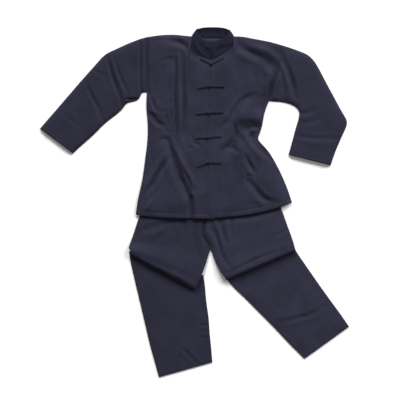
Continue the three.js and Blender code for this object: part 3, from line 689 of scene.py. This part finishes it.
tape_line = smooth_line(NECK_TAPE)
aside = np.gradient(tape_line, axis=0)
aside = np.stack([-aside[:, 1], aside[:, 0]], axis=1)
aside *= TAPE_WIDTH / 2 / np.hypot(*aside.T)[:, None]
tape_edges = np.vstack([tape_line + aside, tape_line - aside])
collar_tree = tree_of(collar)
tape_floor = [
    heights(tree, tape_edges, OVER_ALL, -1, 0) for tree in (collar_tree, jacket_back_tree)
]
tape_points = np.column_stack([tape_edges, np.max(tape_floor, axis=0) + TAPE_RISE]).tolist()
tape_steps = len(tape_line)
tape_mesh = bpy.data.meshes.new("neck_tape")
tape_mesh.from_pydata(
    tape_points, [],
    [(i, i + tape_steps, i + tape_steps + 1, i + 1) for i in range(tape_steps - 1)],
)
neck_tape = bpy.data.objects.new("neck_tape", tape_mesh)
bpy.context.collection.objects.link(neck_tape)
only(neck_tape)
thickness = neck_tape.modifiers.new("thickness", "SOLIDIFY")
thickness.thickness = TAPE_THICKNESS
bpy.ops.object.modifier_apply(modifier=thickness.name)
tape_cotton = cotton("tape_cotton", TAPE_DYE, 0.0)
tape_mesh.materials.append(tape_cotton)
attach(neck_tape, "root")


# Neck label: a bare strip of woven tape inside the back of the neck.
LABEL_DYE = (0.0275, 0.0265, 0.0445)
label = shell_of("neck_label", "neck_label_tape", 2)
label.data.materials.append(cotton("label_tape", LABEL_DYE, 0.0))
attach(label, "root")
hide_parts("neck_label")


# Frog closures: each half a thin cotton cord laid double, sewn down flat. The left half ends
# in a ball knot, and the right half in a loop that goes round the knot's neck.
FROGS = [
    ((22, 545), (63.5, 524), (111, 548)),
    ((13, 432), (56.5, 440), (112, 438)),
    ((6, 335), (53.5, 339), (108, 341)),
    ((6, 243), (49, 245.5), (101, 250)),
    ((10, 135), (52, 151), (101, 149)),
]
CORD_RADIUS = 1.8 * MM
CORD_ROUNDING = 3
CORD_HEIGHT = 0.9 * CORD_RADIUS
CORD_APART = 1.75 * MM
KNOT_CORD = 1.7 * MM
KNOT_RADIUS = 4.8 * MM
KNOT_RISE = 3.2 * MM
LOOP_RADIUS = 5.6 * MM
KNOT_NECK = 8 * MM
LOOP_END = 10 * MM
FROG_GRAIN = 0.6
DARK_DYE = (0.0162, 0.0157, 0.0295)
frog_cotton = cotton("frog_cotton", DARK_DYE, FROG_GRAIN)
front_trees = [tree_of(front) for front in fronts.values()]


def lie_on(trees, x, y):
    """The height of the highest of some pieces under a place."""
    hits = [tree.ray_cast(Vector((x, y, OVER_ALL)), Vector((0, 0, -1)))[0] for tree in trees]
    return max((hit.z for hit in hits if hit is not None), default=0)


def cord(name, points, radius, closed):
    """A round cord along points, as a closed mesh."""
    curve = bpy.data.curves.new(name, "CURVE")
    curve.dimensions = "3D"
    curve.bevel_depth = radius
    curve.bevel_resolution = CORD_ROUNDING
    curve.use_fill_caps = True
    spline = curve.splines.new("POLY")
    spline.points.add(len(points) - 1)
    for point, place in zip(spline.points, points):
        point.co = (*place, 1)
    spline.use_cyclic_u = closed
    piece = bpy.data.objects.new(name, curve)
    bpy.context.collection.objects.link(piece)
    only(piece)
    bpy.ops.object.convert(target="MESH")
    bpy.ops.object.shade_smooth()
    return piece


def frog_half(name, node, end, knot, looped):
    """A doubled cord from beside the knot out to its end and back, or with a loop too."""
    start = np.array(knot) * MM
    run = np.array(end) * MM - start
    length = np.hypot(*run)
    along, across = run / length, np.array([-run[1], run[0]]) / length
    outline = []
    if looped:
        for angle in np.radians(np.arange(150, 20, -15)):
            outline.append((LOOP_RADIUS * math.cos(angle), LOOP_RADIUS * math.sin(angle)))
    first = LOOP_END if looped else KNOT_NECK
    straight = np.linspace(first, length - CORD_APART, 12)
    outline += [(at, CORD_APART) for at in straight]
    for angle in np.radians(np.arange(60, -61, -30)):
        outline.append(
            (length - CORD_APART + CORD_APART * math.cos(angle), CORD_APART * math.sin(angle))
        )
    outline += [(at, -CORD_APART) for at in straight[::-1]]
    if looped:
        for angle in np.radians(np.arange(-35, -211, -15)):
            outline.append((LOOP_RADIUS * math.cos(angle), LOOP_RADIUS * math.sin(angle)))
    points = []
    for at, off in outline:
        x, y = start + at * along + off * across
        points.append((x, y, lie_on(front_trees, x, y) + CORD_HEIGHT))
    half = cord(name, points, CORD_RADIUS, looped)
    half.data.materials.append(frog_cotton)
    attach(half, "root")
    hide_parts(node)


def ball_knot(name, node, knot):
    """A cord woven over and under itself into a low ball."""
    leads, bights, steps = 3, 4, 144
    x, y = np.array(knot) * MM
    base = lie_on(front_trees, x, y)
    points = []
    for t in 2 * np.pi * leads * np.arange(steps) / steps:
        out = 0.58 + 0.42 * math.cos(bights * t / leads)
        over = 0.55 * KNOT_CORD * math.sin(2 * bights * t / leads)
        points.append((
            x + KNOT_RADIUS * out * math.cos(t),
            y + KNOT_RADIUS * out * math.sin(t),
            base + 1.2 * KNOT_CORD + KNOT_RISE * math.sqrt(1.01 - out**2) + over,
        ))
    ball = cord(name, points, KNOT_CORD, True)
    ball.data.materials.append(frog_cotton)
    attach(ball, "root")
    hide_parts(node)


for number, (left_end, knot, right_end) in enumerate(FROGS, 1):
    frog_half(f"frog_{number}_left_cord", f"frog_{number}_left", left_end, knot, False)
    frog_half(f"frog_{number}_right_cord", f"frog_{number}_right", right_end, knot, True)
    ball_knot(f"frog_{number}_ball_knot", f"frog_{number}_knot", knot)


# Stitching: rows of single stitches that hold the hems, cuffs, facings, armholes and collar,
# in dark thread, and on the collar in thread of its tape's colour.
STITCH_LENGTH = 3.2 * MM
STITCH_STEP = 4.2 * MM
STITCH_HALF_WIDTH = 0.5 * MM
STITCH_HALF_HEIGHT = 0.4 * MM
dark_thread = cotton("dark_thread", DARK_DYE, 0.0)
bpy.ops.object.select_all(action="DESELECT")
bpy.ops.mesh.primitive_uv_sphere_add(segments=6, ring_count=4, radius=1)
pattern = bpy.context.object
STITCH_POINTS = np.array([vertex.co for vertex in pattern.data.vertices])
STITCH_FACES = [tuple(face.vertices) for face in pattern.data.polygons]
bpy.data.objects.remove(pattern)


def beside(points, distance):
    """A line moved sideways by a distance in millimetres, to its left."""
    p = np.array(points, float)
    run = np.gradient(p, axis=0)
    run /= np.hypot(*run.T)[:, None]
    return p + distance * np.stack([-run[:, 1], run[:, 0]], axis=1)


def stitches(name, rows, trees, thread):
    """Rows of stitches that lie on pieces, as one mesh."""
    points, faces = [], []
    for row in rows:
        line = smooth_line(row)
        lengths = np.concatenate([[0], np.cumsum(np.hypot(*np.diff(line, axis=0).T))])
        for at in np.arange(STITCH_STEP, lengths[-1] - STITCH_STEP, STITCH_STEP):
            ends = []
            for s in (at - STITCH_LENGTH / 2, at + STITCH_LENGTH / 2):
                x, y = np.interp(s, lengths, line[:, 0]), np.interp(s, lengths, line[:, 1])
                ends.append(np.array([x, y, lie_on(trees, x, y)]))
            ahead = (ends[1] - ends[0]) / 2
            sideways = np.array([-ahead[1], ahead[0], 0])
            sideways *= STITCH_HALF_WIDTH / np.linalg.norm(sideways)
            upright = np.cross(ahead, sideways)
            upright *= STITCH_HALF_HEIGHT / np.linalg.norm(upright)
            middle = (ends[0] + ends[1]) / 2
            placed = middle + STITCH_POINTS @ np.array([ahead, sideways, upright])
            faces += [tuple(i + len(points) for i in face) for face in STITCH_FACES]
            points += placed.tolist()
    mesh = bpy.data.meshes.new(name)
    mesh.from_pydata(points, [], faces)
    mesh.materials.append(thread)
    piece = bpy.data.objects.new(name, mesh)
    bpy.context.collection.objects.link(piece)
    only(piece)
    bpy.ops.object.shade_smooth()
    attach(piece, "root")


CENTRE_FRONT = [(64, 538), (56, 427), (52, 313), (47, 199), (54, 115), (56, -63)]
JACKET_HEM_ROW = 20
RIGHT_FACING_ROW = 56
LEFT_FACING_ROW = -54
FRONT_EDGE_ROW = -5
CUFF_ROW = -22
LEG_HEM_ROW = 11
stitches(
    "jacket_stitching",
    [
        beside(HEMS["left"], JACKET_HEM_ROW),
        beside(HEMS["right"], JACKET_HEM_ROW),
        beside(CENTRE_FRONT, RIGHT_FACING_ROW),
        beside(CENTRE_FRONT, LEFT_FACING_ROW),
        beside(CENTRE_FRONT, FRONT_EDGE_ROW),
        [(-176, 618), (-176, 428)],
        [(331, 589), (278, 388)],
    ],
    front_trees,
    dark_thread,
)
stitches(
    "collar_stitching",
    [
        [(25, 649), (66, 652), (108, 649)],
        [(25, 640), (66, 642.5), (108, 640)],
    ],
    [collar_tree],
    tape_cotton,
)
stitches(
    "sleeve_stitching",
    [
        beside([(-462, 185), (-587, 280)], CUFF_ROW),
        beside([(517, 140), (357, 180)], CUFF_ROW),
    ],
    [tree_of(sleeve) for sleeve in sleeves.values()],
    dark_thread,
)
stitches(
    "trouser_stitching",
    [
        beside([(-135, -664), (68, -607)], LEG_HEM_ROW),
        beside([(418, -594), (587, -472)], LEG_HEM_ROW),
    ],
    [tree_of(leg) for leg in legs.values()],
    dark_thread,
)


# Floor and light: a plain white floor, soft lights from the top and the upper right, and fill.
# Each light has a name, the direction it comes from, its strength and its spread in degrees.
FLOOR_SIZE = 60
FLOOR_DROP = 0.05 * MM
FLOOR_WHITE = (0.94, 0.94, 0.94, 1)
LIGHTS = [
    ("key_from_above", (-0.08, 0.92, 0.46), 3.8, 24),
    ("key_from_right", (0.6, 0.66, 0.43), 2.6, 24),
]
FILL = 0.3
bpy.ops.mesh.primitive_plane_add(size=FLOOR_SIZE, location=(0, 0, -FLOOR_DROP))
floor_plane = bpy.context.object
floor_plane.name = "floor"
paper = bpy.data.materials.new("white_floor")
paper.use_nodes = True
paper_shader = paper.node_tree.nodes["Principled BSDF"]
paper_shader.inputs["Base Color"].default_value = FLOOR_WHITE
paper_shader.inputs["Roughness"].default_value = 0.9
floor_plane.data.materials.append(paper)

for name, place, energy, spread in LIGHTS:
    towards = Vector(place)
    bpy.ops.object.light_add(type="SUN", location=towards)
    light = bpy.context.object
    light.name = name
    light.data.energy = energy
    light.data.angle = math.radians(spread)
    light.rotation_euler = towards.to_track_quat("Z", "Y").to_euler()
world = bpy.data.worlds.new("studio")
world.use_nodes = True
world.node_tree.nodes["Background"].inputs["Color"].default_value = (1, 1, 1, 1)
world.node_tree.nodes["Background"].inputs["Strength"].default_value = FILL
bpy.context.scene.world = world
bpy.context.scene.view_settings.view_transform = "Standard"
